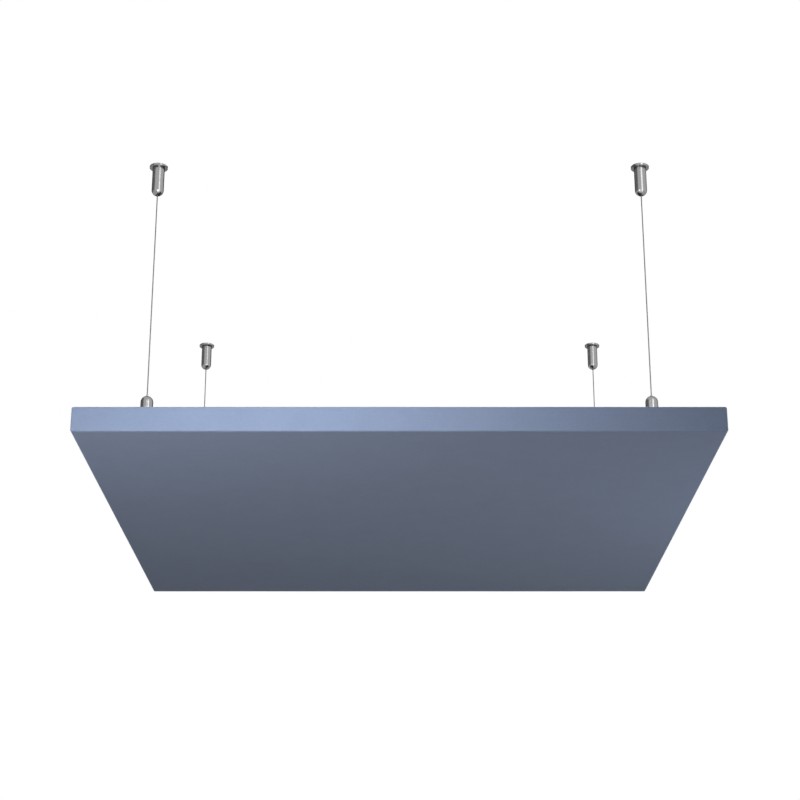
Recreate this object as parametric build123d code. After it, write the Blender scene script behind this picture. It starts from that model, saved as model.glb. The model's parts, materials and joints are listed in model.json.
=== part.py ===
from build123d import *
import os
from math import acos, asin, cos, degrees, radians, sin, sqrt, tan

# Sizes are in millimetres. +Z is up and -Y is the front. The origin is the
# centre of the four ceiling screw holes, on the ceiling plane, and the panel
# hangs below it on four wires.

# Panel and where it hangs
panel_width = 1000.0
panel_depth = 1000.0
panel_thickness = 40.0
hanging_drop = 460.0  # ceiling to the upper side of the panel
fixture_inset = 100.0  # panel edge to each wire, both ways

# Fabric cover, back fleece and absorber core
fabric_thickness = 1.0
fabric_edge_radius = 3.0
hem_tuck = 4.5  # how far the hem goes down into the groove
fleece_thickness = 0.6
fleece_gap = 0.5
core_gap = 0.5

# Extruded frame rail: u is inward from its outer face, v is up from its foot
rail_wall = 1.5
rail_depth = 14.0
chamber_base = 14.0
groove_offset = 5.5
groove_width = 4.0
groove_depth = 5.5
groove_wall = 1.2
spline_gap = 0.05
spline_proud = 0.5

# Corner keys and the set screws that lock them
key_leg = 60.0
key_gap = 0.1
set_screw_radius = 2.5
set_screw_bite = 5.0
set_screw_place = 42.0  # from the frame's corner
set_screw_socket = 1.25
set_screw_socket_depth = 2.2

# Cross rails, their brackets and screws
cross_rail_width = 40.0
cross_rail_height = 20.0
cross_rail_wall = 1.5
bracket_leg = 24.0
bracket_thickness = 2.0
bracket_height = 15.0
bracket_screw_place = 14.5  # from the bracket's corner
screw_radius = 2.0
screw_length = 8.0
screw_head_radius = 3.8
screw_head_height = 2.3
screw_rim_height = 1.0
screw_crown_radius = 2.1
screw_tip = 2.0
screw_slot_width = 0.9
screw_slot_depth = 1.1
hole_gap = 0.05

# Threaded inserts in the cross rails
insert_radius = 4.5
insert_length = 15.0
insert_head_radius = 5.5
insert_head_height = 1.0
insert_collar_radius = 6.0
insert_collar_height = 2.5
stud_radius = 3.0
stud_length = 13.0

# Fixture bases, alike at the ceiling and on the panel
flange_radius = 15.0
flange_thickness = 4.0
flange_edge = 0.6
thread_radius = 8.0
thread_length = 6.0
thread_gap = 0.05
recess_radius = 5.0
ceiling_hole_radius = 2.25
ceiling_head_radius = 4.5
recess_floor = 3.6
socket_radius = 2.9
socket_depth = 3.0

# Bullet caps
cap_radius = 10.0
cap_length = 40.0  # flange to the centre of the domed end
cap_edge = 0.3
cap_shoulder = 0.86  # from the liner's seat out to the hollow below it

# Swivel joint inside each domed end
swing_limit = 7.0  # degrees, in each of two directions
ball_radius = 4.5
seat_gap = 0.12
liner_wall = 1.9
mouth_gap = 0.3  # round the nozzle at full tilt
skirt_gap = 0.1  # round the barrel at full tilt

# Wires and their upper ends
wire_radius = 1.0
wire_gap = 0.05
ferrule_radius = 2.2
ferrule_length = 7.0
ferrule_chamfer = 0.4
wire_stub = 0.2

# Wire grips on the panel
level_travel = 9.0  # up and down, for setting the height
tail_spare = 0.5
barrel_step = 0.2  # from the ball's radius in to the barrel's
barrel_length = 14.0
plug_height = 2.5
plug_gap = 0.05
plug_bore_radius = 1.3
nozzle_radius = 1.6
nozzle_gap = 0.1
nozzle_reach = 12.0  # above the centre of the ball
release_travel = 2.0
plunger_bore_gap = 0.15
cage_gap = 0.28
cage_top = 2.0  # below the centre of the ball
cage_height = 4.0
shoulder_gap = 0.5
grip_ball_radius = 1.0
grip_ball_gap = 0.05
grip_ball_count = 3
taper_angle = 5.0
taper_length = 7.0
spring_wire_radius = 0.25
spring_radius = 2.4
spring_turns = 5
spring_gap = 0.3

# Places that follow from the sizes
seat_z = -hanging_drop - fabric_thickness
frame_foot_z = -hanging_drop - panel_thickness + fabric_thickness
rail_height = seat_z - frame_foot_z
frame_x = panel_width / 2 - fabric_thickness
frame_y = panel_depth / 2 - fabric_thickness
inner_x = frame_x - rail_depth
inner_y = frame_y - rail_depth
wire_x = panel_width / 2 - fixture_inset
wire_y = panel_depth / 2 - fixture_inset
core_top_z = seat_z - fleece_thickness
pivot = flange_thickness + cap_length
chamber_roof = rail_height - groove_depth - groove_wall
chamber_floor = chamber_base + rail_wall
bracket_middle_z = core_top_z - cross_rail_height / 2
screw_hole_radius = screw_radius + hole_gap
set_screw_hole_radius = set_screw_radius + hole_gap

liner_inner = ball_radius + seat_gap
liner_outer = liner_inner + liner_wall
seat_radius = liner_outer + seat_gap
cap_cavity = seat_radius + cap_shoulder
barrel_radius = ball_radius - barrel_step
nozzle_bore = nozzle_radius + nozzle_gap
plunger_bore = wire_radius + plunger_bore_gap
ball_place = wire_radius + grip_ball_radius + grip_ball_gap
tilt = degrees(acos(cos(radians(swing_limit)) ** 2))
taper_slope = tan(radians(taper_angle))
ball_level = cage_top + cage_height / 2
taper_start = cage_top - shoulder_gap
taper_end = taper_start + taper_length
taper_at_balls = ball_place + grip_ball_radius + grip_ball_gap
taper_top_radius = taper_at_balls - (ball_level - taper_start) * taper_slope
taper_foot_radius = taper_at_balls + (taper_end - ball_level) * taper_slope
cage_radius = taper_top_radius - cage_gap
wire_top_z = -pivot + ball_radius + ferrule_length + wire_stub
wire_foot_z = seat_z + pivot - barrel_length - level_travel - tail_spare

CORNERS = ("front_left", "front_right", "rear_right", "rear_left")


def span(x0, x1, y0, y1, z0, z1):
    """A block from its two corners."""
    return Pos((x0 + x1) / 2, (y0 + y1) / 2, (z0 + z1) / 2) * Box(x1 - x0, y1 - y0, z1 - z0)


def rod(radius, z0, z1):
    """A cylinder about the Z axis."""
    return Pos(0, 0, (z0 + z1) / 2) * Cylinder(radius, z1 - z0)


def line(*points):
    """Straight runs in the XZ plane through (radius, height) points."""
    places = [(r, 0, z) for r, z in points]
    return [Line(a, b) for a, b in zip(places, places[1:])]


def arc(radius, height, start, end):
    """Part of a circle about the Z axis point at this height, by its angles from +Z."""

    def at(angle):
        return (radius * sin(radians(angle)), 0, height + radius * cos(radians(angle)))

    return [ThreePointArc(at(start), at((start + end) / 2), at(end))]


def turned(*runs):
    """Turn a closed outline of (radius, height) about the Z axis."""
    edges = [edge for run in runs for edge in run]
    return revolve(make_face(Wire(edges)), Axis.Z)


def polar_angle(radius, distance):
    """Angle from +Z of the point on a sphere that lies this far from its axis."""
    return degrees(asin(distance / radius))


def at_corners(piece, x, y):
    """Four copies, turned a quarter each, with the first at (-x, -y)."""
    places = ((-x, -y), (x, -y), (x, y), (-x, y))
    return [Pos(px, py, 0) * Rot(0, 0, 90 * turn) * piece for turn, (px, py) in enumerate(places)]


def rounded_block(half_x, half_y, z0, z1, radius):
    """A block with every edge rounded."""
    block = span(-half_x, half_x, -half_y, half_y, z0, z1)
    return fillet(block.edges(), radius)


def inside_of_cover(half_x, half_y):
    """The space that the fabric cover closes round a frame of this size."""
    radius = fabric_edge_radius - fabric_thickness
    return rounded_block(half_x, half_y, frame_foot_z, seat_z, radius)


# Frame


def strip_section(u0, u1, v0, v1):
    """A rectangle of a rail's section."""
    return Pos((u0 + u1) / 2, (v0 + v1) / 2) * Rectangle(u1 - u0, v1 - v0)


def rail_section():
    """Outer wall, face lip, closed key chamber and a groove for the fabric."""
    groove_end = groove_offset + groove_width
    box_start = groove_offset - groove_wall
    box_end = groove_end + groove_wall
    groove_floor = rail_height - groove_depth
    section = strip_section(0, rail_wall, 0, rail_height)
    section += strip_section(0, rail_depth, 0, rail_wall)
    section += strip_section(0, rail_depth, chamber_base, chamber_floor)
    section += strip_section(rail_depth - rail_wall, rail_depth, chamber_base, rail_height)
    section += strip_section(0, rail_depth, rail_height - rail_wall, rail_height)
    section += strip_section(box_start, box_end, chamber_roof, rail_height)
    return section - strip_section(groove_offset, groove_end, groove_floor, rail_height)


def spline_section():
    """The flexible strip that wedges the hem in the groove."""
    return strip_section(
        groove_offset + fabric_thickness + spline_gap,
        groove_offset + groove_width - spline_gap,
        rail_height - groove_depth + spline_gap,
        rail_height + spline_proud,
    )


def mitred_side(section, half_length, half_span, rounded):
    """Run a section along the front side of the frame, with mitred ends."""
    spare = rail_depth
    start = Plane(origin=(-half_length - spare, -half_span, frame_foot_z), x_dir=(0, 1, 0), z_dir=(1, 0, 0))
    run = extrude(start * section, 2 * (half_length + spare))
    outer_length, outer_span = half_length + spare, half_span + spare
    inner_length, inner_span = half_length - rail_depth - spare, half_span - rail_depth - spare
    outline = Polyline(
        (-outer_length, -outer_span),
        (outer_length, -outer_span),
        (inner_length, -inner_span),
        (-inner_length, -inner_span),
        close=True,
    )
    side = Pos(0, 0, frame_foot_z - spare) * extrude(make_face(outline), rail_height + 2 * spare)
    if rounded:
        side = inside_of_cover(half_length, half_span) & side
    return run & side


def all_sides(section, rounded=False):
    """A section run round the whole frame, as four mitred strips by side."""
    long_side = mitred_side(section, frame_x, frame_y, rounded)
    short_side = mitred_side(section, frame_y, frame_x, rounded)
    return {
        "front": long_side,
        "right": Rot(0, 0, 90) * short_side,
        "rear": Rot(0, 0, 180) * long_side,
        "left": Rot(0, 0, 270) * short_side,
    }


def set_screw_axis():
    """Where a corner's first set screw stands: its head is on the rail's inner wall."""
    middle = frame_foot_z + (chamber_floor + chamber_roof) / 2
    return Pos(set_screw_place, rail_depth, middle) * Rot(-90, 0, 0)


def both_legs(piece):
    """A piece on one leg of a corner, and its mirror image on the other leg."""
    return [piece, mirror(piece, Plane(origin=(0, 0, 0), z_dir=(1, -1, 0)))]


def corner_key():
    """L-shaped key that fills the chambers of two rails at a mitre."""
    low, high = rail_wall + key_gap, rail_depth - rail_wall - key_gap
    z0 = frame_foot_z + chamber_floor + key_gap
    z1 = frame_foot_z + chamber_roof - key_gap
    key = span(low, key_leg, low, high, z0, z1) + span(low, high, low, key_leg, z0, z1)
    drill = set_screw_axis() * rod(set_screw_hole_radius, -set_screw_bite - 2 * rail_wall, 0)
    for hole in both_legs(drill):
        key -= hole
    return key


def set_screw():
    """Set screw, flush with the rail's inner wall, with a hex socket."""
    body = rod(set_screw_radius, -set_screw_bite - rail_wall, 0)
    socket = extrude(RegularPolygon(set_screw_socket, 6, major_radius=False), -set_screw_socket_depth)
    return body - socket


def corner_keys():
    return at_corners(corner_key(), frame_x, frame_y)


def corner_set_screws():
    pair = Compound(children=both_legs(set_screw_axis() * set_screw()))
    return [screw for corner in at_corners(pair, frame_x, frame_y) for screw in corner.solids()]


def drilled(rails):
    """Cut the set screw and bracket screw holes in the rails' inner walls."""
    drill = set_screw_axis() * rod(set_screw_hole_radius, -rail_wall - hole_gap, hole_gap)
    holes = bracket_drills(rail_wall)
    for hole in both_legs(drill):
        holes += at_corners(hole, frame_x, frame_y)
    return {side: rail - holes for side, rail in rails.items()}


def frame_rails():
    """The four mitred rails, rounded where the fabric goes over them."""
    return drilled(all_sides(rail_section(), rounded=True))


# Cross rails


def bracket_y():
    """The side of the front cross rail that faces the middle of the panel."""
    return wire_y - cross_rail_width / 2


def bracket_screw_axes():
    """The two screws of the bracket, from their heads, for its corner at the origin."""
    along, across = bracket_screw_place, bracket_thickness
    return (
        Pos(across, along, bracket_middle_z) * Rot(0, 90, 0),
        Pos(along, across, bracket_middle_z) * Rot(-90, 0, 0),
    )


def bracket_drills(wall):
    """The holes that all the bracket screws need through a wall behind the brackets."""
    drill = rod(screw_hole_radius, -bracket_thickness - wall - hole_gap, hole_gap)
    holes = []
    for axis in bracket_screw_axes():
        holes += at_corners(axis * drill, inner_x, bracket_y())
    return holes


def rail_bracket():
    """Angle bracket between a frame rail and a cross rail."""
    z0 = bracket_middle_z - bracket_height / 2
    z1 = bracket_middle_z + bracket_height / 2
    bracket = span(0, bracket_leg, 0, bracket_thickness, z0, z1)
    bracket += span(0, bracket_thickness, 0, bracket_leg, z0, z1)
    for axis in bracket_screw_axes():
        bracket -= axis * rod(screw_hole_radius, -bracket_thickness - hole_gap, hole_gap)
    return bracket


def bracket_screw():
    """Pan-head screw with a cross recess. Its head stands on z = 0 and it points down."""
    shank_end = -screw_length
    outline = line(
        (0, shank_end),
        (screw_radius, shank_end + screw_tip),
        (screw_radius, 0),
        (screw_head_radius, 0),
        (screw_head_radius, screw_rim_height),
        (screw_crown_radius, screw_head_height),
        (0, screw_head_height),
        (0, shank_end),
    )
    screw = turned(outline)
    for angle in (0, 90):
        slot = Box(2 * screw_crown_radius, screw_slot_width, 2 * screw_slot_depth)
        screw -= Pos(0, 0, screw_head_height) * Rot(0, 0, angle) * slot
    return screw


def rail_brackets():
    return at_corners(rail_bracket(), inner_x, bracket_y())


def rail_bracket_screws():
    screws = []
    for axis in bracket_screw_axes():
        screws += at_corners(axis * bracket_screw(), inner_x, bracket_y())
    return screws


def cross_rail():
    """Front cross rail: a rectangular tube with holes for inserts and bracket screws."""
    outer = span(
        -inner_x, inner_x,
        -wire_y - cross_rail_width / 2, -wire_y + cross_rail_width / 2,
        core_top_z - cross_rail_height, core_top_z,
    )
    bore = span(
        -inner_x, inner_x,
        -wire_y - cross_rail_width / 2 + cross_rail_wall,
        -wire_y + cross_rail_width / 2 - cross_rail_wall,
        core_top_z - cross_rail_height + cross_rail_wall, core_top_z - cross_rail_wall,
    )
    rail = outer - bore
    for x in (-wire_x, wire_x):
        rail -= Pos(x, -wire_y, core_top_z) * insert_hole()
    return rail - bracket_drills(cross_rail_wall)


def insert_outline(gap):
    """Neck and rim of an insert's countersunk head, with room round it."""
    return (
        (insert_radius + gap, -insert_head_height),
        (insert_head_radius + gap, 0),
    )


def insert_hole():
    """The countersunk hole that an insert stands in, below z = 0."""
    neck, rim = insert_outline(hole_gap)
    return turned(line(
        (0, -cross_rail_wall - hole_gap),
        (neck[0], -cross_rail_wall - hole_gap),
        neck,
        rim,
        (rim[0], hole_gap),
        (0, hole_gap),
        (0, -cross_rail_wall - hole_gap),
    ))


def threaded_insert():
    """Rivet nut: countersunk head, body, and the collar set under the rail's wall."""
    neck, rim = insert_outline(0)
    bore = stud_radius + thread_gap
    collar_top = -cross_rail_wall
    return turned(line(
        (bore, 0),
        rim,
        neck,
        (insert_radius, collar_top),
        (insert_collar_radius, collar_top),
        (insert_collar_radius, collar_top - insert_collar_height),
        (insert_radius, collar_top - insert_collar_height),
        (insert_radius, -insert_length),
        (bore, -insert_length),
        (bore, 0),
    ))


def threaded_inserts():
    return [Pos(0, 0, core_top_z) * piece for piece in at_corners(threaded_insert(), wire_x, wire_y)]


# Absorber, fleece and fabric


def absorber_core():
    """Absorber slab, cut out for the cross rails and their brackets."""
    half_x, half_y = inner_x - core_gap, inner_y - core_gap
    core = span(-half_x, half_x, -half_y, half_y, frame_foot_z, core_top_z)
    half_slot = cross_rail_width / 2 + core_gap
    slot_floor = core_top_z - cross_rail_height - core_gap
    for y in (-wire_y, wire_y):
        core -= span(-half_x, half_x, y - half_slot, y + half_slot, slot_floor, core_top_z)
    pocket = bracket_leg + screw_head_height + core_gap
    pocket_block = span(0, pocket, 0, pocket, slot_floor, core_top_z)
    for block in at_corners(pocket_block, inner_x, bracket_y()):
        core -= block
    return core


def back_fleece():
    """Thin fleece over the back, punched where the studs go through."""
    half_x, half_y = inner_x - fleece_gap, inner_y - fleece_gap
    fleece = span(-half_x, half_x, -half_y, half_y, core_top_z, seat_z)
    punch = rod(insert_head_radius + hole_gap, core_top_z, seat_z)
    for hole in at_corners(punch, wire_x, wire_y):
        fleece -= hole
    return fleece


def fabric_cover():
    """Fabric over the face, the edges and the hem that is tucked into the groove."""
    low, high = -hanging_drop - panel_thickness, -hanging_drop
    cover = rounded_block(panel_width / 2, panel_depth / 2, low, high, fabric_edge_radius)
    cover -= inside_of_cover(frame_x, frame_y)
    outer_x, outer_y = frame_x - groove_offset, frame_y - groove_offset
    open_x, open_y = outer_x - fabric_thickness, outer_y - fabric_thickness
    cover += span(-outer_x, outer_x, -outer_y, outer_y, seat_z - hem_tuck, seat_z)
    return cover - span(-open_x, open_x, -open_y, open_y, seat_z - hem_tuck, high)


# Fixtures, made standing on z = 0 with the domed end up


def bullet_cap():
    """Bullet-shaped cap: threaded skirt, hollow body and a seat behind the domed end."""
    bore = thread_radius + thread_gap
    skirt_top = flange_thickness + thread_length
    tip = mouth_radius(cap_radius)
    throat = mouth_radius(seat_radius)
    tip_angle = polar_angle(cap_radius, tip)
    throat_angle = polar_angle(seat_radius, throat)
    tip_z = pivot + cap_radius * cos(radians(tip_angle))
    throat_z = pivot + seat_radius * cos(radians(throat_angle))
    return turned(
        line(
            (bore, flange_thickness),
            (cap_radius - cap_edge, flange_thickness),
            (cap_radius, flange_thickness + cap_edge),
            (cap_radius, pivot),
        ),
        arc(cap_radius, pivot, 90, tip_angle),
        line((tip, tip_z), (throat, throat_z)),
        arc(seat_radius, pivot, throat_angle, 90),
        line(
            (seat_radius, pivot),
            (cap_cavity, pivot),
            (cap_cavity, skirt_top),
            (bore, skirt_top),
            (bore, flange_thickness),
        ),
    )


def mouth_radius(distance):
    """How wide the mouth is at a distance from the pivot, for the nozzle at full tilt."""
    lean = radians(tilt)
    return distance * sin(lean) + nozzle_radius / cos(lean) + mouth_gap


def swivel_liner():
    """Nylon liner: a spherical zone between the ball and its seat in the cap."""
    mouth = polar_angle(liner_inner, mouth_radius(liner_inner))
    skirt = 180 - polar_angle(liner_inner, barrel_radius + skirt_gap) - tilt

    def at(radius, angle):
        return (radius * sin(radians(angle)), pivot + radius * cos(radians(angle)))

    return turned(
        arc(liner_outer, pivot, mouth, skirt),
        line(at(liner_outer, skirt), at(liner_inner, skirt)),
        arc(liner_inner, pivot, skirt, mouth),
        line(at(liner_inner, mouth), at(liner_outer, mouth)),
    )


def base_outline(floor):
    """Flange, threaded boss and the recess in it, down to a floor on the axis."""
    top = flange_thickness + thread_length
    return line(
        (0, 0),
        (flange_radius - flange_edge, 0),
        (flange_radius, flange_edge),
        (flange_radius, flange_thickness - flange_edge),
        (flange_radius - flange_edge, flange_thickness),
        (thread_radius, flange_thickness),
        (thread_radius, top),
        (recess_radius, top),
        (recess_radius, floor),
        (0, floor),
        (0, 0),
    )


def ceiling_base():
    """Ceiling flange with a countersunk screw hole."""
    sink = ceiling_head_radius - ceiling_hole_radius
    drill = turned(line(
        (0, 0),
        (ceiling_hole_radius, 0),
        (ceiling_hole_radius, recess_floor - sink),
        (ceiling_head_radius, recess_floor),
        (0, recess_floor),
        (0, 0),
    ))
    return turned(base_outline(recess_floor)) - drill


def panel_base():
    """Panel flange with a stud below it and a hex socket in its floor."""
    base = turned(base_outline(flange_thickness))
    base += rod(stud_radius, -stud_length, 0)
    socket = extrude(RegularPolygon(socket_radius, 6, major_radius=False), -socket_depth)
    return base - Pos(0, 0, flange_thickness) * socket


def polar_height(distance):
    """Height above the ball's centre of its surface, this far from the axis."""
    return sqrt(ball_radius ** 2 - distance ** 2)


def ball_side(lower, upper):
    """The ball's surface, from one distance from its axis below to another above."""
    return arc(ball_radius, 0, 180 - polar_angle(ball_radius, lower), polar_angle(ball_radius, upper))


def wire_end():
    """Swaged ball and ferrule on the upper end of a wire."""
    bore = wire_radius + wire_gap
    shoulder = -polar_height(ferrule_radius)
    foot = -ball_radius - ferrule_length
    top = polar_height(bore)
    return Pos(0, 0, pivot) * turned(
        line(
            (bore, foot),
            (ferrule_radius - ferrule_chamfer, foot),
            (ferrule_radius, foot + ferrule_chamfer),
            (ferrule_radius, shoulder),
        ),
        ball_side(ferrule_radius, bore),
        line((bore, top), (bore, foot)),
    )


def grip_barrel():
    """Grip barrel with a ball head, and the plug that closes its foot."""
    neck = -polar_height(barrel_radius)
    top = polar_height(nozzle_bore)
    shell = turned(
        line((taper_foot_radius, -barrel_length), (barrel_radius, -barrel_length), (barrel_radius, neck)),
        ball_side(barrel_radius, nozzle_bore),
        line(
            (nozzle_bore, top),
            (nozzle_bore, -taper_start),
            (taper_top_radius, -taper_start),
            (taper_foot_radius, -taper_end),
            (taper_foot_radius, -barrel_length),
        ),
    )
    plug = rod(taper_foot_radius - plug_gap, -barrel_length, plug_height - barrel_length)
    plug -= rod(plug_bore_radius, -barrel_length, plug_height - barrel_length)
    return [Pos(0, 0, pivot) * shell, Pos(0, 0, pivot) * plug]


def plunger():
    """Release nozzle with the cage that holds the gripping balls."""
    foot = -cage_top - cage_height
    rim = (nozzle_radius - plunger_bore) / 2
    body = turned(line(
        (plunger_bore, foot),
        (cage_radius, foot),
        (cage_radius, -cage_top),
        (nozzle_radius, -cage_top),
        (nozzle_radius, nozzle_reach - rim),
        (nozzle_radius - rim, nozzle_reach),
        (plunger_bore, nozzle_reach),
        (plunger_bore, foot),
    ))
    for place in ball_places():
        body -= place * Sphere(grip_ball_radius + grip_ball_gap)
        body -= place * Rot(0, 90, 0) * Cylinder(grip_ball_radius + grip_ball_gap, 2 * grip_ball_radius)
    return Pos(0, 0, pivot) * body


def ball_places():
    """Places of the gripping balls round the wire, from the centre of the ball head."""
    step = 360 / grip_ball_count
    return [Rot(0, 0, step * k) * Pos(ball_place, 0, -ball_level) for k in range(grip_ball_count)]


def grip_balls():
    return [Pos(0, 0, pivot) * place * Sphere(grip_ball_radius) for place in ball_places()]


def grip_spring():
    """Compression spring between the plug and the cage."""
    low = pivot - barrel_length + plug_height + spring_gap + spring_wire_radius
    high = pivot - cage_top - cage_height - spring_gap - spring_wire_radius
    path = Helix((high - low) / spring_turns, high - low, spring_radius)
    section = Plane(origin=path @ 0, z_dir=path % 0) * Circle(spring_wire_radius)
    return Pos(0, 0, low) * sweep(section, path=path, is_frenet=True)


def suspension_wire(x, y):
    """Wire from its swaged end in the ceiling fixture to the tail inside the panel fixture."""
    return Pos(x, y, 0) * rod(wire_radius, wire_foot_z, wire_top_z)


# Parts list


def write(name, pieces):
    """Write one or more solids as one part file."""
    if not isinstance(pieces, list):
        pieces = [pieces]
    solids = [solid for piece in pieces for solid in piece.solids()]
    shape = solids[0] if len(solids) == 1 else Compound(children=solids)
    shape.label = name
    export_step(shape, os.path.join("parts", f"{name}.step"))


def hung(piece):
    """A fixture piece turned over, to hang from the ceiling."""
    return at_corners(Rot(180, 0, 0) * piece, wire_x, wire_y)


def stood(piece):
    """A fixture piece stood on the back of the panel."""
    return [Pos(0, 0, seat_z) * copy for copy in at_corners(piece, wire_x, wire_y)]


def grouped(pieces):
    """Several pieces as one, so that they are placed together."""
    return Compound(children=[solid for piece in pieces for solid in piece.solids()])


def main():
    os.makedirs("parts", exist_ok=True)
    for side, rail in frame_rails().items():
        write(f"{side}_frame_rail", rail)
    write("corner_keys", corner_keys())
    write("corner_set_screws", corner_set_screws())
    front_cross = cross_rail()
    write("front_cross_rail", front_cross)
    write("rear_cross_rail", Rot(0, 0, 180) * front_cross)
    write("rail_brackets", rail_brackets())
    write("rail_bracket_screws", rail_bracket_screws())
    write("threaded_inserts", threaded_inserts())
    write("absorber_core", absorber_core())
    write("back_fleece", back_fleece())
    write("fabric_cover", fabric_cover())
    write("fabric_splines", list(all_sides(spline_section()).values()))
    write("ceiling_bases", hung(ceiling_base()))
    write("panel_bases", stood(panel_base()))

    each_corner = {
        "ceiling_cap": hung(bullet_cap()),
        "upper_liner": hung(swivel_liner()),
        "wire_end": hung(wire_end()),
        "panel_cap": stood(bullet_cap()),
        "lower_liner": stood(swivel_liner()),
        "grip_barrel": stood(grouped(grip_barrel())),
        "grip_spring": stood(grip_spring()),
        "grip_plunger": stood(plunger()),
        "grip_balls": stood(grouped(grip_balls())),
    }
    for name, copies in each_corner.items():
        for corner, copy in zip(CORNERS, copies):
            write(f"{name}_{corner}", copy)
    for corner, (x, y) in zip(CORNERS, ((-1, -1), (1, -1), (1, 1), (-1, 1))):
        write(f"wire_{corner}", suspension_wire(x * wire_x, y * wire_y))


main()
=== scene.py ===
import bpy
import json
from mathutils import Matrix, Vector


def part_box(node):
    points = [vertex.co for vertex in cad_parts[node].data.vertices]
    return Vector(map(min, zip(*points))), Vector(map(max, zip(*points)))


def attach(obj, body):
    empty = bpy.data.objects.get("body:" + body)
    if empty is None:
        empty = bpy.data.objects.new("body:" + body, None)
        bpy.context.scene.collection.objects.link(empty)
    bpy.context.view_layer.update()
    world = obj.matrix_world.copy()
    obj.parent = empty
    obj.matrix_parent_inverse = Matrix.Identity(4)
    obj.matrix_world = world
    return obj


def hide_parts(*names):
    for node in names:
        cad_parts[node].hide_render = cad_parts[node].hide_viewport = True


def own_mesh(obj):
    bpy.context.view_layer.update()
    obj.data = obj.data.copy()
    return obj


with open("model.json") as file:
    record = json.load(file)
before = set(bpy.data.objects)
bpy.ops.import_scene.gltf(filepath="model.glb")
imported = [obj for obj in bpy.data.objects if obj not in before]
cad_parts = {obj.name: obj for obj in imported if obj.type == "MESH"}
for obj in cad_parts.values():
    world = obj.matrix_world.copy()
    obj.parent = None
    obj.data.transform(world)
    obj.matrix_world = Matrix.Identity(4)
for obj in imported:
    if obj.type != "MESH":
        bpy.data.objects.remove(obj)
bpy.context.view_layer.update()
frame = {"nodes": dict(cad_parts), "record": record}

import json
import math

import bmesh
import bpy
from mathutils import Vector, noise

# Lengths are in metres, in the part's frame: +Z is up, -Y is the front, and the
# panel hangs below the ceiling plane z = 0.

CORNERS = ("front_left", "front_right", "rear_right", "rear_left")
MM = 0.001

# Fabric cover
FABRIC = 0.97 * MM  # a little thinner than its space, so that no faces coincide
EDGE_RADIUS = 3 * MM
GROOVE_INSET = 6.5 * MM  # panel edge to the groove's outer wall
HEM_TUCK = 5.5 * MM  # from the cover's top down to the end of the hem
CORNER_STEPS = 6
EDGE_STEPS = 5
SIDE_ROWS = 6
CORNER_PINCH = 0.22 * MM  # how far the seam is drawn in at each corner

# Grid over the panel's face: steps grow from its edges to its middle
FIRST_STEP = 0.8 * MM
STEP_GROWTH = 1.4
LARGEST_STEP = 25 * MM

# Ripple of the stretched fabric: slow waves all over, and short ones that fade from the edges
SLOW_WAVE = 170 * MM
SLOW_RISE = 0.10 * MM
SHORT_WAVE = 35 * MM
SHORT_RISE = 0.07 * MM
SHORT_FADE = 30 * MM
SHORT_SHIFT = Vector((7.3, 2.1, 5.7))  # sets the short waves apart from the slow ones

# Back fleece
FLEECE = 0.55 * MM
FLEECE_WAVE = 60 * MM
FLEECE_RISE = 0.08 * MM
PUNCH_RADIUS = 5.6 * MM
PUNCH_FIELD = 22 * MM  # half of the square round each punched hole
PUNCH_CELLS = 6  # grid cells along a side of that square
EDGE_CELLS = 4
MIDDLE_CELLS = 36
RING_SHARES = (0.3, 0.55, 0.8, 1.0)  # places of the rings between that square and the hole

# Puckers where a fixture's base draws the fleece down
PUCKER_COUNT = 7
PUCKER_RISE = 0.16 * MM
PUCKER_START = 16 * MM  # distance from the wire's axis, just outside the base
PUCKER_FADE = 22 * MM

# Suspension wires: six strands laid round a core
STRAND_COUNT = 6
CORE_SHARE = 0.98  # the core is a little thinner than a strand
LAY_LENGTH = 14 * MM
STEPS_PER_LAY = 16
STRAND_SIDES = 6

# Grip springs
SPRING_WIRE = 0.25 * MM
SPRING_TURNS = 5
STEPS_PER_TURN = 32
SPRING_SIDES = 10

# Camera, worked out from the panel's edges, the wires and the fixtures in the photograph
SENSOR_WIDTH = 36.0  # in millimetres, like the focal length
FOCAL_LENGTH = 81.66
CAMERA_PLACE = (0.00113, -3.1026, -1.3998)
CAMERA_TILT = 20.054  # degrees up from level

# Floor
FLOOR_Z = -4.1
FLOOR_HALF = 60.0
FLOOR_LIFT = 0.66  # glow of the floor below the panel, where white is 1
FLOOR_FADE = (5.0, 22.0)  # distances over which the floor turns white

WORLD_LEVEL = 0.06

WHITE = (1.0, 1.0, 1.0, 1.0)
BLACK = (0.0, 0.0, 0.0, 1.0)
FLOOR_TONE = (0.82, 0.82, 0.82, 1.0)
PAINTED_DARK_RIM_TINT = (0.25, 0.25, 0.26, 1.0)  # dark tint that the metal shows at a low angle: painted shade along the rims of the turned parts


def new_object(name, points, faces, finish):
    """A smooth mesh object with outward normals, linked to the scene."""
    mesh = bpy.data.meshes.new(name)
    mesh.from_pydata([tuple(p) for p in points], [], faces)
    shape = bmesh.new()
    shape.from_mesh(mesh)
    bmesh.ops.recalc_face_normals(shape, faces=shape.faces)
    shape.to_mesh(mesh)
    shape.free()
    for face in mesh.polygons:
        face.use_smooth = True
    mesh.materials.append(finish)
    made = bpy.data.objects.new(name, mesh)
    bpy.context.scene.collection.objects.link(made)
    return made


# Materials


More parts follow.
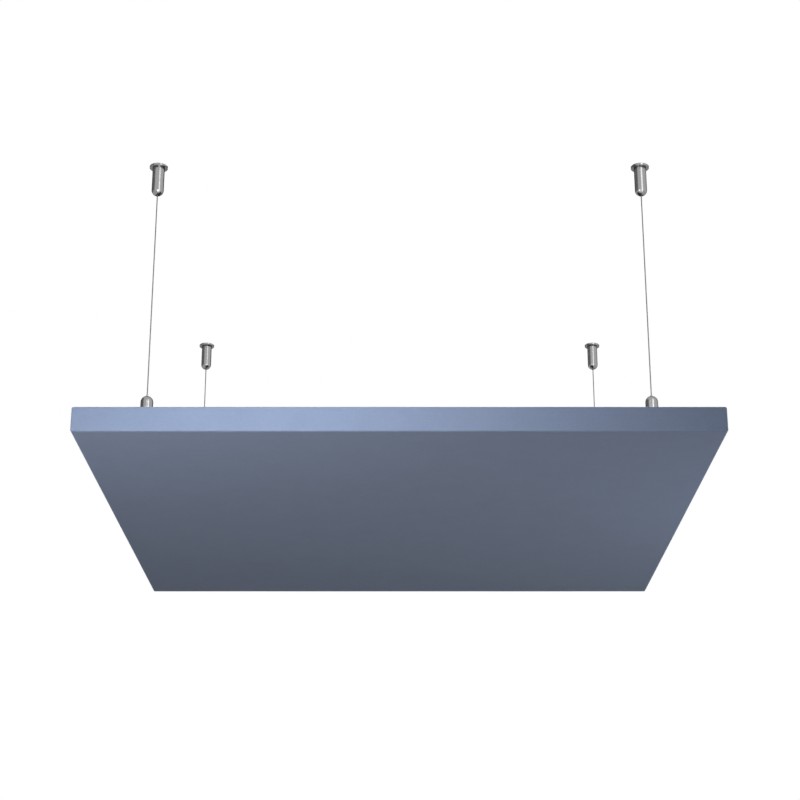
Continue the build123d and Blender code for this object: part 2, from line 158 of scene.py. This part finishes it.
class Finish:
    """A node material. Its textures follow object coordinates, in metres."""

    def __init__(self, name, roughness, **constants):
        self.material = bpy.data.materials.new(name)
        self.material.use_nodes = True
        self.tree = self.material.node_tree
        self.shader = self.tree.nodes["Principled BSDF"]
        self.shader.inputs["Roughness"].default_value = roughness
        for socket, value in constants.items():
            self.shader.inputs[socket.replace("_", " ")].default_value = value
        self.place = self.node("ShaderNodeTexCoord").outputs["Object"]

    def node(self, kind, settings=None, **inputs):
        """Add a node. Inputs are named or numbered by socket, as in B=, Scale= or i1=."""
        made = self.tree.nodes.new(kind)
        for name, value in (settings or {}).items():
            setattr(made, name, value)
        for name, value in inputs.items():
            numbered = name[0] == "i" and name[1:].isdigit()
            key = int(name[1:]) if numbered else name.replace("_", " ")
            self.put(value, made.inputs[key])
        return made

    def put(self, value, socket):
        """Link a socket's value, or set a constant."""
        if isinstance(value, bpy.types.NodeSocket):
            self.tree.links.new(value, socket)
        else:
            socket.default_value = value

    def math(self, operation, *values):
        made = self.node("ShaderNodeMath", {"operation": operation})
        for value, socket in zip(values, made.inputs):
            self.put(value, socket)
        return made.outputs[0]

    def vector_math(self, operation, *values):
        made = self.node("ShaderNodeVectorMath", {"operation": operation})
        for value, socket in zip(values, made.inputs):
            self.put(value, socket)
        return made.outputs[0]

    def length(self, vector):
        made = self.node("ShaderNodeVectorMath", {"operation": "LENGTH"}, i0=vector)
        return made.outputs["Value"]

    def noise(self, size, detail=2.0, roughness=0.5, place=None):
        """Noise from 0 to 1, with grains of this size along X, Y and Z."""
        scaled = self.vector_math("MULTIPLY", place or self.place, [1 / s for s in size])
        return self.node("ShaderNodeTexNoise", Vector=scaled, Scale=1.0, Detail=detail,
                         Roughness=roughness).outputs["Fac"]

    def threads(self, length, width, detail=1.0):
        """Even mix of grains drawn out along each of the three axes."""
        runs = [[width] * 3 for _ in range(3)]
        for axis, run in enumerate(runs):
            run[axis] = length
        first, second, third = (self.noise(run, detail) for run in runs)
        total = self.math("ADD", self.math("ADD", first, second), third)
        return self.math("DIVIDE", total, 3.0)

    def spread(self, value, low, high):
        """Stretch the middle of a noise over the range from low to high."""
        return self.node("ShaderNodeMapRange", Value=value, From_Min=0.35, From_Max=0.65,
                         To_Min=low, To_Max=high).outputs["Result"]

    def mix(self, share, first, second):
        return self.node("ShaderNodeMix", {"data_type": "RGBA"}, i0=share, i6=first,
                         i7=second).outputs[2]

    def colour(self, value):
        self.put(value, self.shader.inputs["Base Color"])

    def rough(self, value):
        self.put(value, self.shader.inputs["Roughness"])

    def bump(self, height, distance, strength):
        made = self.node("ShaderNodeBump", Height=height, Distance=distance, Strength=strength)
        self.put(made.outputs["Normal"], self.shader.inputs["Normal"])

    def glow(self, strength):
        self.put(WHITE, self.shader.inputs["Emission Color"])
        self.put(strength, self.shader.inputs["Emission Strength"])


def srgb(red, green, blue):
    """A colour as it is seen on screen, from 0 to 255, for a shader."""

    def linear(value):
        part = value / 255
        return part / 12.92 if part <= 0.04045 else ((part + 0.055) / 1.055) ** 2.4

    return (linear(red), linear(green), linear(blue), 1.0)


def woven_fabric():
    """Fine woven cover fabric: warp and weft threads, mottled yarn and a little fuzz."""
    finish = Finish("cover_fabric", 0.92, Sheen_Weight=0.18, Sheen_Roughness=0.45)
    weave = finish.threads(9 * MM, 0.7 * MM)
    yarn = finish.spread(weave, 0.0, 1.0)
    mottle = finish.spread(finish.noise([45 * MM] * 3, 3.0), 0.0, 1.0)
    thread_tone = finish.mix(yarn, srgb(111, 125, 152), srgb(126, 140, 167))
    washed = finish.mix(mottle, srgb(117, 130, 157), srgb(121, 135, 162))
    finish.colour(finish.mix(0.45, thread_tone, washed))
    finish.bump(weave, 0.25 * MM, 0.5)
    return finish.material


def fleece_felt():
    """Thin black non-woven fleece: crossing fibres on a soft ground."""
    finish = Finish("back_fleece", 0.97, Sheen_Weight=0.08, Sheen_Roughness=0.5,
                    Specular_IOR_Level=0.2)
    fibres = finish.threads(14 * MM, 0.5 * MM, 3.0)
    patches = finish.noise([8 * MM] * 3, 4.0, 0.6)
    tone = finish.mix(finish.spread(fibres, 0.0, 1.0), srgb(34, 35, 38), srgb(62, 63, 67))
    finish.colour(finish.mix(finish.spread(patches, 0.1, 0.5), tone, srgb(44, 45, 48)))
    finish.bump(fibres, 0.4 * MM, 0.6)
    return finish.material


def absorber_fibre():
    """Pressed polyester fibre of the absorber slab."""
    finish = Finish("absorber", 0.95, Sheen_Weight=0.2)
    fibres = finish.noise([12 * MM, 12 * MM, 1.2 * MM], 4.0, 0.6)
    fibre = finish.spread(fibres, 0.0, 1.0)
    finish.colour(finish.mix(fibre, srgb(206, 204, 196), srgb(232, 231, 226)))
    finish.bump(fibres, 0.8 * MM, 0.6)
    return finish.material


def drawn_metal(name, dark, light, roughness, grain):
    """Metal with fine draw lines along its length and faint clouding."""
    finish = Finish(name, roughness, Metallic=1.0)
    lines = finish.threads(60 * MM, grain)
    clouds = finish.noise([30 * MM] * 3, 3.0)
    finish.colour(finish.mix(finish.spread(lines, 0.0, 1.0), dark, light))
    finish.rough(finish.spread(clouds, roughness - 0.06, roughness + 0.06))
    finish.bump(lines, 0.02 * MM, 0.4)
    return finish.material


def round_each_wire(finish):
    """Coordinates (distance from the nearest wire's axis, 0, height)."""
    low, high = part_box("wire_front_left")
    offset = abs(low.x + high.x) / 2
    split = finish.node("ShaderNodeSeparateXYZ", Vector=finish.place)
    across, along = (
        finish.math("SUBTRACT", finish.math("ABSOLUTE", split.outputs[axis]), offset)
        for axis in ("X", "Y")
    )
    flat = finish.node("ShaderNodeCombineXYZ", X=across, Y=along)
    distance = finish.length(flat.outputs[0])
    return finish.node("ShaderNodeCombineXYZ", X=distance, Z=split.outputs["Z"]).outputs[0]


def turned_metal(name, dark, light, roughness, line_width):
    """Turned and plated metal: fine rings round each wire's axis, with handling marks."""
    # The dark low-angle tint paints shade along the rims of these parts.
    finish = Finish(name, roughness, Metallic=1.0, Specular_Tint=PAINTED_DARK_RIM_TINT)
    rings = finish.noise([line_width] * 3, 2.0, place=round_each_wire(finish))
    marks = finish.noise([5 * MM] * 3, 4.0, 0.6)
    finish.colour(finish.mix(finish.spread(rings, 0.0, 1.0), dark, light))
    finish.rough(finish.spread(marks, roughness - 0.05, roughness + 0.07))
    finish.bump(rings, 0.01 * MM, 0.35)
    return finish.material


def moulded(name, dark, light, roughness, **constants):
    """Moulded plastic or rubber with a fine matt grain."""
    finish = Finish(name, roughness, **constants)
    grain = finish.noise([0.5 * MM] * 3, 3.0)
    clouds = finish.noise([10 * MM] * 3, 2.0)
    finish.colour(finish.mix(finish.spread(clouds, 0.0, 1.0), dark, light))
    finish.rough(finish.spread(grain, roughness - 0.08, roughness + 0.08))
    finish.bump(grain, 0.04 * MM, 0.4)
    return finish.material


def make_finishes():
    """A finish for each material slot of the record."""
    drawn = {
        "frame_aluminium": (srgb(176, 178, 181), srgb(204, 206, 209), 0.38, 0.25 * MM),
        "zinc_steel": (srgb(150, 154, 160), srgb(182, 186, 192), 0.42, 0.6 * MM),
        "spring_steel": (srgb(132, 133, 136), srgb(164, 165, 168), 0.34, 0.1 * MM),
        "wire_steel": (srgb(130, 131, 133), srgb(152, 153, 155), 0.48, 0.08 * MM),
    }
    turned = {
        "satin_nickel": (srgb(150, 150, 151), srgb(166, 166, 167), 0.21, 0.12 * MM),
        "nickel_fittings": (srgb(160, 158, 153), srgb(182, 180, 175), 0.24, 0.1 * MM),
        "ball_steel": (srgb(180, 180, 182), srgb(205, 205, 207), 0.16, 0.3 * MM),
    }
    finishes = {
        "cover_fabric": woven_fabric(),
        "back_fleece": fleece_felt(),
        "absorber": absorber_fibre(),
        "spline": moulded("spline", srgb(34, 35, 38), srgb(48, 49, 52), 0.6),
        "nylon": moulded("nylon", srgb(222, 221, 212), srgb(234, 233, 226), 0.42,
                         Subsurface_Weight=0.15, Subsurface_Scale=1 * MM),
    }
    finishes.update((name, drawn_metal(name, *facts)) for name, facts in drawn.items())
    finishes.update((name, turned_metal(name, *facts)) for name, facts in turned.items())
    return finishes


# Meshes built up from rings


class Skin:
    """The vertices and faces of a mesh that is built up from rings."""

    def __init__(self):
        self.points = []
        self.faces = []

    def add(self, point):
        self.points.append(Vector(point))
        return len(self.points) - 1

    def add_ring(self, centre, across, over, radius, sides):
        """A round ring of points, in the plane of two unit vectors."""
        angles = (2 * math.pi * k / sides for k in range(sides))
        return [
            self.add(centre + radius * (math.cos(a) * across + math.sin(a) * over)) for a in angles
        ]

    def close_tube(self, rings):
        """A closed tube through rings, with a flat face at each end."""
        for ring, following in zip(rings, rings[1:]):
            self.bridge(ring, following)
        self.faces += [tuple(rings[0]), tuple(rings[-1])]

    def bridge(self, ring, following):
        """Faces between two rings, with triangles where a ring's points coincide."""
        for i in range(len(ring)):
            j = (i + 1) % len(ring)
            face = tuple(dict.fromkeys((ring[i], ring[j], following[j], following[i])))
            if len(face) > 2:
                self.faces.append(face)
        return following


# Fabric cover


def edge_places(half):
    """Places from -half to half, close together near both ends."""
    places, step = [-half], FIRST_STEP
    while places[-1] + step < -LARGEST_STEP / 2:
        places.append(places[-1] + step)
        step = min(step * STEP_GROWTH, LARGEST_STEP)
    return places + [0.0] + [-p for p in reversed(places)]


def turned_about(x, y, quarter):
    """A point turned by quarter turns about the panel's middle."""
    for _ in range(quarter):
        x, y = -y, x
    return x, y


class Cover(Skin):
    """Rings and faces of the cover, about the square outline where its roundings start."""

    def __init__(self, core):
        super().__init__()
        self.core = core
        self.places = edge_places(core)

    def grid(self, z):
        """A flat face over the core outline. Returns its border as a ring."""
        rows = [[self.add((x, y, z)) for x in self.places] for y in self.places]
        for low, high in zip(rows, rows[1:]):
            for i in range(len(low) - 1):
                self.faces.append((low[i], low[i + 1], high[i + 1], high[i]))
        sides = (rows[0], [row[-1] for row in rows], rows[-1][::-1], [row[0] for row in rows][::-1])
        return [i for side in sides for i in side + [side[-1]] * (CORNER_STEPS - 1)]

    def sharp_ring(self, half, z):
        """A square ring with sharp corners."""
        count = len(self.places) - 1
        scale = half / self.core
        made = [
            self.add((*turned_about(place * scale, -half, side), z))
            for side in range(4) for place in self.places[:-1]
        ]
        made.append(made[0])
        ring = []
        for side in range(4):
            run = made[side * count:(side + 1) * count + 1]
            ring += run + [run[-1]] * (CORNER_STEPS - 1)
        return ring

    def round_ring(self, radius, z, pinch):
        """A square ring with rounded corners. Pinch draws a seam in at each corner."""
        ring = []
        for side in range(4):
            for place in self.places:
                ring.append(self.add((*turned_about(place, -self.core - radius, side), z)))
            for step in range(1, CORNER_STEPS):
                angle = math.radians(90 * step / CORNER_STEPS)
                reach = radius - pinch * (step == CORNER_STEPS // 2)
                x = self.core + reach * math.sin(angle)
                y = -self.core - reach * math.cos(angle)
                ring.append(self.add((*turned_about(x, y, side), z)))
        return ring

    def shell(self, radius, low, high, pinch):
        """Face, rounded edges and sides, up to the core outline at the top."""
        ring = self.grid(low)
        bottom, top = low + radius, high - radius
        turns = [math.radians(90 * k / EDGE_STEPS) for k in range(1, EDGE_STEPS + 1)]
        rises = [(top - bottom) * row / SIDE_ROWS for row in range(1, SIDE_ROWS + 1)]
        levels = [(math.sin(turn), bottom - radius * math.cos(turn)) for turn in turns]
        levels += [(1.0, bottom + rise) for rise in rises]
        levels += [(math.cos(turn), top + radius * math.sin(turn)) for turn in turns[:-1]]
        for share, z in levels:
            ring = self.bridge(ring, self.round_ring(radius * share, z, pinch * share))
        return self.bridge(ring, self.sharp_ring(self.core, high))


def ripple(place, half):
    """How far stretched fabric stands off a true plane."""
    slow = noise.noise(place / SLOW_WAVE)
    short = noise.noise(place / SHORT_WAVE + SHORT_SHIFT)
    from_edge = min(half - abs(place.x), half - abs(place.y))
    near = math.exp(-max(from_edge, 0.0) / SHORT_FADE)
    return SLOW_RISE * slow + SHORT_RISE * short * near


def fabric_cover(finish):
    """Cover stretched over the face and edges, with its hem tucked into the groove."""
    low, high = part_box("fabric_cover")
    half = high.x
    cover = Cover(half - EDGE_RADIUS)
    inner = EDGE_RADIUS - FABRIC
    wall = half - GROOVE_INSET

    ring = cover.shell(EDGE_RADIUS, low.z, high.z, pinch=CORNER_PINCH)
    outer_count = len(cover.points)
    fold = math.sqrt(0.5) * FABRIC
    lip = high.z - FABRIC
    end = high.z - HEM_TUCK
    halfway = (lip + end) / 2
    midway = (cover.core + wall) / 2
    for reach, z in (
        (midway, high.z), (wall, high.z), (wall - fold, lip + fold),
        (wall - FABRIC, lip), (wall - FABRIC, halfway), (wall - FABRIC, end),
        (wall, end), (wall, halfway), (wall, lip), (midway, lip),
    ):
        ring = cover.bridge(ring, cover.sharp_ring(reach, z))
    lining = cover.shell(inner, low.z + FABRIC, lip, pinch=0.0)
    cover.bridge(ring, lining)

    made = new_object("fabric_cover_cloth", cover.points, cover.faces, finish)
    for vertex in made.data.vertices[:outer_count]:
        vertex.co += vertex.normal * ripple(vertex.co, half)
    made.data.update()
    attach(made, "panel")
    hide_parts("fabric_cover")


# Back fleece


def subdivided(stops, counts):
    """Places between stops, with this many equal steps in each gap."""
    places = [stops[0]]
    for start, end, count in zip(stops, stops[1:], counts):
        places += [start + (end - start) * k / count for k in range(1, count + 1)]
    return places


def slab(top, faces, thickness):
    """A thin solid below a surface: the surface, its copy beneath, and walls at every border."""
    below = [p - Vector((0, 0, thickness)) for p in top]
    count = len(top)
    edges = {}
    for face in faces:
        for a, b in zip(face, face[1:] + face[:1]):
            edges.setdefault(frozenset((a, b)), []).append((a, b))
    walls = [(b, a, a + count, b + count) for (a, b), *others in edges.values() if not others]
    return top + below, faces + [tuple(i + count for i in reversed(f)) for f in faces] + walls


def square_border(rows, r, c, cells):
    """The border of a square block of grid cells, as a ring."""
    run = range(cells)
    return (
        [rows[r][c + i] for i in run] + [rows[r + i][c + cells] for i in run]
        + [rows[r + cells][c + cells - i] for i in run] + [rows[r + cells - i][c] for i in run]
    )


def punch(skin, border):
    """Rings from a square border in to the round hole at its middle."""
    middle = (skin.points[border[0]] + skin.points[border[2 * PUNCH_CELLS]]) / 2
    ring = border
    for share in RING_SHARES:
        inner = []
        for i in border:
            corner = skin.points[i]
            rim = middle + (corner - middle).normalized() * PUNCH_RADIUS
            inner.append(skin.add(corner.lerp(rim, share)))
        ring = skin.bridge(ring, inner)


def punched_square(half, post, z):
    """A square sheet with a round hole at each of its four posts."""
    near, far = post - PUNCH_FIELD, post + PUNCH_FIELD
    cells = (EDGE_CELLS, PUNCH_CELLS, MIDDLE_CELLS, PUNCH_CELLS, EDGE_CELLS)
    places = subdivided((-half, -far, -near, near, far, half), cells)
    sheet = Skin()
    rows = [[sheet.add((x, y, z)) for x in places] for y in places]
    starts = [places.index(-far), places.index(near)]
    blocks = [(r, c) for r in starts for c in starts]
    field = range(PUNCH_CELLS)
    open_cells = {(r + i, c + j) for r, c in blocks for i in field for j in field}
    for r, (low, high) in enumerate(zip(rows, rows[1:])):
        for c in range(len(places) - 1):
            if (r, c) not in open_cells:
                sheet.faces.append((low[c], low[c + 1], high[c + 1], high[c]))
    for r, c in blocks:
        punch(sheet, square_border(rows, r, c, PUNCH_CELLS))
    return sheet


def fleece_rise(point, posts):
    """How far the laid fleece stands up: slow waves, and puckers round the nearest base."""
    nearest = min(posts, key=lambda post: (post.xy - point.xy).length)
    out = point.xy - nearest.xy
    past = out.length - PUCKER_START
    close = math.exp(-past / PUCKER_FADE) if past > 0 else 0.0
    folds = math.cos(PUCKER_COUNT * math.atan2(out.y, out.x))
    return FLEECE_RISE * noise.noise(point / FLEECE_WAVE) + PUCKER_RISE * folds * close


def back_fleece(finish, posts):
    """Fleece laid over the back, punched round the inserts and drawn down at the bases."""
    _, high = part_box("back_fleece")
    half = high.x
    sheet = punched_square(half, max(post.x for post in posts), high.z)
    for point in sheet.points:
        point.z += fleece_rise(point, posts)
    points, faces = slab(sheet.points, sheet.faces, FLEECE)
    made = new_object("back_fleece_cloth", points, faces, finish)
    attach(made, "panel")
    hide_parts("back_fleece")


# Suspension wires


def route_points(name, controls):
    """Points along the smooth line of a wire, from a NURBS spline on its control points."""
    curve = bpy.data.curves.new(name, "CURVE")
    curve.dimensions = "3D"
    curve.resolution_u = 24
    spline = curve.splines.new("NURBS")
    spline.points.add(len(controls) - 1)
    for point, place in zip(spline.points, controls):
        point.co = (*place, 1.0)
    spline.order_u = 3
    spline.use_endpoint_u = True
    carrier = bpy.data.objects.new(name, curve)
    line = bpy.data.meshes.new_from_object(carrier)
    points = [vertex.co.copy() for vertex in line.vertices]
    bpy.data.objects.remove(carrier)
    bpy.data.curves.remove(curve)
    bpy.data.meshes.remove(line)
    return points


def along(points, step):
    """Places at even steps along a line of points."""
    spots, reach, walked = [points[0]], step, 0.0
    for a, b in zip(points, points[1:]):
        run = (b - a).length
        while reach <= walked + run:
            spots.append(a.lerp(b, (reach - walked) / run))
            reach += step
        walked += run
    if (spots[-1] - points[-1]).length > step / 4:
        spots.append(points[-1])
    return spots


def tube(skin, centres, radius, sides):
    """A closed tube round a nearly vertical line of centres."""
    east, north = Vector((1, 0, 0)), Vector((0, 1, 0))
    skin.close_tube([skin.add_ring(centre, east, north, radius, sides) for centre in centres])


def suspension_wire(corner, finish):
    """Stranded rope in place of a wire's plain rod, from its swaged end down to its tail."""
    low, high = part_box(f"wire_{corner}")
    x, y = (low.x + high.x) / 2, (low.y + high.y) / 2
    radius = (high.x - low.x) / 2
    controls = [(x, y, high.z), (x, y, (high.z + low.z) / 2), (x, y, low.z)]
    spots = along(route_points(f"route_{corner}", controls), LAY_LENGTH / STEPS_PER_LAY)
    strand = radius / 3
    rope = Skin()
    tube(rope, [spots[0], spots[-1]], strand * CORE_SHARE, STRAND_SIDES)
    for number in range(STRAND_COUNT):
        centres = []
        for step, spot in enumerate(spots):
            angle = 2 * math.pi * (number / STRAND_COUNT + step / STEPS_PER_LAY)
            centres.append(spot + 2 * strand * Vector((math.cos(angle), math.sin(angle), 0)))
        tube(rope, centres, strand, STRAND_SIDES)
    made = new_object(f"wire_{corner}_rope", rope.points, rope.faces, finish)
    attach(made, f"wire_{corner}")
    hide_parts(f"wire_{corner}")


# Grip springs


def grip_spring(corner, finish):
    """Coil in place of a spring's solid, built at the spring's full length. The real spring
    shortens as the grip's plunger is pressed in.
    """
    node = f"grip_spring_{corner}"
    low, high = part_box(node)
    foot = Vector(((low.x + high.x) / 2, (low.y + high.y) / 2, low.z + SPRING_WIRE))
    reach = (high.x - low.x) / 2 - SPRING_WIRE
    rise = high.z - low.z - 2 * SPRING_WIRE
    steps = SPRING_TURNS * STEPS_PER_TURN
    coil, rings = Skin(), []
    for step in range(steps + 1):
        turn = 2 * math.pi * step / STEPS_PER_TURN
        out = Vector((math.cos(turn), math.sin(turn), 0))
        run = Vector((-out.y, out.x, 0)) * 2 * math.pi * SPRING_TURNS * reach + Vector((0, 0, rise))
        over = run.normalized().cross(out)
        centre = foot + reach * out + Vector((0, 0, rise * step / steps))
        rings.append(coil.add_ring(centre, out, over, SPRING_WIRE, SPRING_SIDES))
    coil.close_tube(rings)
    made = new_object(f"{node}_coil", coil.points, coil.faces, finish)
    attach(made, f"grip_{corner}")
    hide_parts(node)
    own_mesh(made)


# Camera, light and floor


def make_camera():
    """The photograph's camera."""
    lens = bpy.data.cameras.new("camera")
    lens.sensor_width = SENSOR_WIDTH
    lens.lens = FOCAL_LENGTH
    camera = bpy.data.objects.new("camera", lens)
    camera.location = CAMERA_PLACE
    camera.rotation_euler = (math.radians(90 + CAMERA_TILT), 0.0, 0.0)
    bpy.context.scene.collection.objects.link(camera)
    bpy.context.scene.camera = camera


def area_lamp(name, place, target, size, watts, spread=180, shows=False):
    """A square soft lamp that points at a target. It shows in reflections only on request."""
    lamp = bpy.data.lights.new(name, "AREA")
    lamp.size = size
    lamp.energy = watts
    lamp.spread = math.radians(spread)
    made = bpy.data.objects.new(name, lamp)
    made.location = place
    made.rotation_euler = (Vector(target) - Vector(place)).to_track_quat("-Z", "Y").to_euler()
    made.visible_camera = False
    made.visible_glossy = shows
    bpy.context.scene.collection.objects.link(made)


def background_rays(tree):
    """A value that is 1 for the rays that see the background: camera, glossy and transmission."""
    rays = tree.nodes.new("ShaderNodeLightPath")
    seen = rays.outputs["Is Camera Ray"]
    for kind in ("Is Glossy Ray", "Is Transmission Ray"):
        either = tree.nodes.new("ShaderNodeMath")
        either.operation = "MAXIMUM"
        tree.links.new(seen, either.inputs[0])
        tree.links.new(rays.outputs[kind], either.inputs[1])
        seen = either.outputs[0]
    return seen


def make_world(level):
    """White behind the object and in reflections, and an even level of soft light."""
    world = bpy.data.worlds.new("studio")
    bpy.context.scene.world = world
    world.use_nodes = True
    tree = world.node_tree
    tree.nodes.clear()
    choice = tree.nodes.new("ShaderNodeMixShader")
    tree.links.new(background_rays(tree), choice.inputs[0])
    for strength, socket in ((level, choice.inputs[1]), (1.0, choice.inputs[2])):
        light = tree.nodes.new("ShaderNodeBackground")
        light.inputs["Color"].default_value = (strength, strength, strength, 1.0)
        tree.links.new(light.outputs[0], socket)
    output = tree.nodes.new("ShaderNodeOutputWorld")
    tree.links.new(choice.outputs[0], output.inputs["Surface"])


def staged(name, points, finish):
    """A flat four-sided piece of the studio, which isn't part of the object."""
    mesh = bpy.data.meshes.new(name)
    mesh.from_pydata(points, [], [(0, 1, 2, 3)])
    mesh.materials.append(finish.material)
    made = bpy.data.objects.new(name, mesh)
    bpy.context.scene.collection.objects.link(made)
    return made


def make_floor():
    """Plain pale floor, far below the panel, that fades into the white background."""
    finish = Finish("floor", 0.9)
    finish.colour(FLOOR_TONE)
    near, far = FLOOR_FADE
    lift = finish.node("ShaderNodeMapRange", {"interpolation_type": "SMOOTHSTEP"},
                       Value=finish.length(finish.place), From_Min=near, From_Max=far,
                       To_Min=FLOOR_LIFT, To_Max=1.0).outputs["Result"]
    finish.glow(finish.math("MULTIPLY", background_rays(finish.tree), lift))
    corners = [(-1, -1), (1, -1), (1, 1), (-1, 1)]
    staged("floor", [(x * FLOOR_HALF, y * FLOOR_HALF, FLOOR_Z) for x, y in corners], finish)


def reflection_card(name, middle, across, rise, level):
    """An upright card that only reflections show, as metal shows a dark wall or a tall window."""
    finish = Finish(name, 1.0)
    finish.colour(BLACK)
    finish.glow(level)
    middle, across, rise = Vector(middle), Vector(across), Vector((0, 0, rise))
    card = staged(name, [middle - across - rise, middle + across - rise, middle + across + rise,
                         middle - across + rise], finish)
    card.visible_camera = card.visible_diffuse = False
    card.visible_transmission = card.visible_shadow = False


SIDE_FILL = dict(size=0.9, watts=8.0, spread=80)
LAMPS = {
    "front_key": dict(place=(-0.19, -1.2, -0.46), target=(-0.19, 0.0, -0.48), size=0.5,
                      watts=3.01, shows=True),
    "front_left": dict(place=(-0.245, -1.15, -0.48), target=(-0.245, 0.0, -0.48), size=0.3,
                       watts=4.27),
    "low_left": dict(place=(-0.62, -0.85, -1.3), target=(-0.35, -0.3, -0.5), size=0.6, watts=3.9),
    "low_right": dict(place=(1.03, -0.12, -1.04), target=(0.32, 0.0, -0.5), size=0.55, watts=2.86),
    "left_side": dict(place=(-2.2, 0.0, 0.1), target=(-0.5, 0.0, -0.45), **SIDE_FILL),
    "right_side": dict(place=(2.2, 0.0, 0.1), target=(0.5, 0.0, -0.45), **SIDE_FILL),
    "rear": dict(place=(0.0, 2.2, 0.1), target=(0.0, 0.5, -0.45), **SIDE_FILL),
    "overhead": dict(place=(-0.6, 0.9, 2.0), target=(0.0, 0.0, -0.46), size=1.2, watts=20.0,
                     spread=70),
}
CARDS = {
    "rear_card": dict(middle=(0.0, 3.0, 1.6), across=(4.0, 0.0, 0.0), rise=1.5, level=0.05),
    "left_card": dict(middle=(-3.4, -0.3, 1.4), across=(0.0, 2.3, 0.0), rise=2.0, level=0.25),
    "strip_card": dict(middle=(1.05, -2.35, -0.5), across=(0.36, 0.2, 0.0), rise=2.0, level=3.0),
}


def dress_parts(finishes):
    """Put each sub-part's finish on the pieces that keep their CAD shape."""
    for part in frame["record"]["subparts"]:
        for place in frame["nodes"][part["node"]].material_slots:
            place.material = finishes[part["material_slot"]]


def main():
    finishes = make_finishes()
    dress_parts(finishes)
    make_camera()
    for corner in CORNERS:
        suspension_wire(corner, finishes["wire_steel"])
        grip_spring(corner, finishes["spring_steel"])
    fabric_cover(finishes["cover_fabric"])
    posts = [sum(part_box(f"wire_{corner}"), Vector()) / 2 for corner in CORNERS]
    back_fleece(finishes["back_fleece"], posts)

    make_floor()
    make_world(WORLD_LEVEL)
    for name, facts in LAMPS.items():
        area_lamp(name, **facts)
    for name, facts in CARDS.items():
        reflection_card(name, **facts)
    bpy.context.scene.view_settings.view_transform = "Standard"


main()
